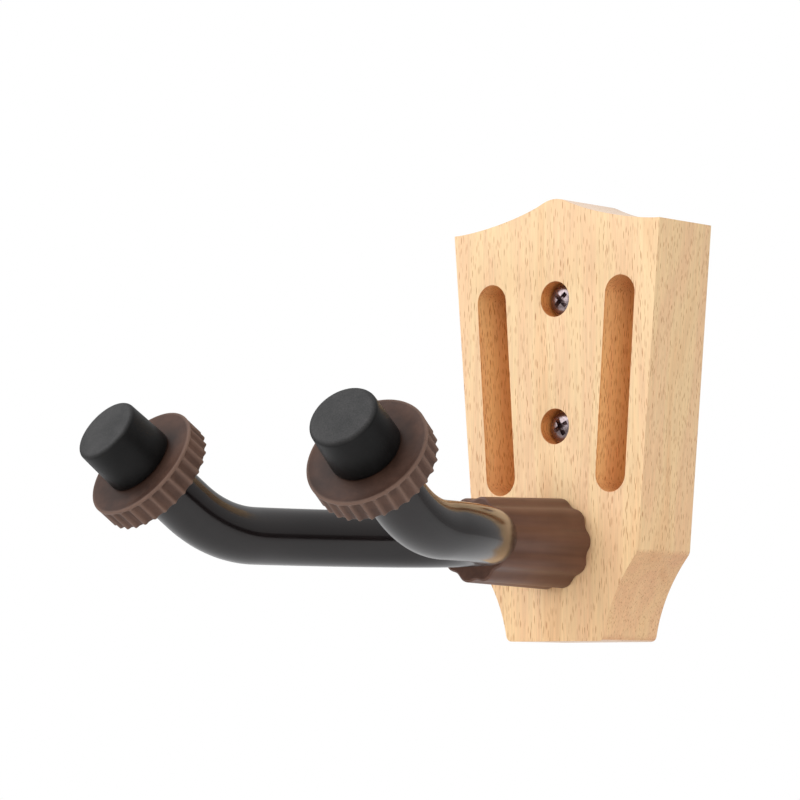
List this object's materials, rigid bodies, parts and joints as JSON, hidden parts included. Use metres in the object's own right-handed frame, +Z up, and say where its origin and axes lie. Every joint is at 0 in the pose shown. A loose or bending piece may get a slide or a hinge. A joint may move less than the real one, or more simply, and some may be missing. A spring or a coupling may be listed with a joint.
{
  "type": "wall guitar hanger",
  "caption": "Wall hanger for a guitar: a wooden back plate shaped like a slotted headstock, with a swivelling padded yoke that cradles the neck.",
  "frame": {"origin": "on the wall face of the back plate, midway between the two wall screws", "axes": "+Z up, +Y into the wall, +X to the right as seen from the room; the yoke reaches out along -Y"},
  "size_m": [0.114, 0.2034, 0.1282],
  "materials": {
    "beech": "satin lacquer",
    "bronzed_steel": "dark bronze plating",
    "brown_plastic": "satin moulded",
    "ring_plastic": "satin moulded",
    "black_gloss": "glossy soft vinyl",
    "black_rubber": "matt",
    "zinc_steel": "zinc plated",
    "white_nylon": "natural nylon",
    "grey_fibre": "vulcanised fibre"
  },
  "bodies": {
    "wall_plate": {"back_plate": "beech", "wall_screw_upper": "bronzed_steel", "wall_screw_lower": "bronzed_steel", "pivot_bush": "white_nylon", "slip_washer": "grey_fibre"},
    "yoke": {"fluted_collar": "brown_plastic", "yoke_rod": "zinc_steel", "yoke_sleeve": "black_gloss", "pivot_stud": "zinc_steel", "flat_washer": "zinc_steel", "disc_spring": "zinc_steel", "lock_nut": "zinc_steel", "lock_nut_insert": "white_nylon", "retaining_clip_left": "zinc_steel", "retaining_clip_right": "zinc_steel", "end_cap_left": "black_rubber", "end_cap_right": "black_rubber"},
    "ring_left": {"grip_ring_left": "ring_plastic"},
    "ring_right": {"grip_ring_right": "ring_plastic"}
  },
  "joints": [
    {"name": "yoke_swivel", "type": "hinge", "parent": "wall_plate", "child": "yoke", "pos_m": [0, -0.0262, -0.0525], "axis": [0, -1, 0], "continuous": true},
    {"name": "ring_left_turn", "type": "hinge", "parent": "yoke", "child": "ring_left", "pos_m": [-0.04001, -0.15677, -0.03385], "axis": [-0.131, -0.8086, 0.5736], "continuous": true},
    {"name": "ring_right_turn", "type": "hinge", "parent": "yoke", "child": "ring_right", "pos_m": [0.04001, -0.15677, -0.03385], "axis": [0.131, -0.8086, 0.5736], "continuous": true}
  ]
}
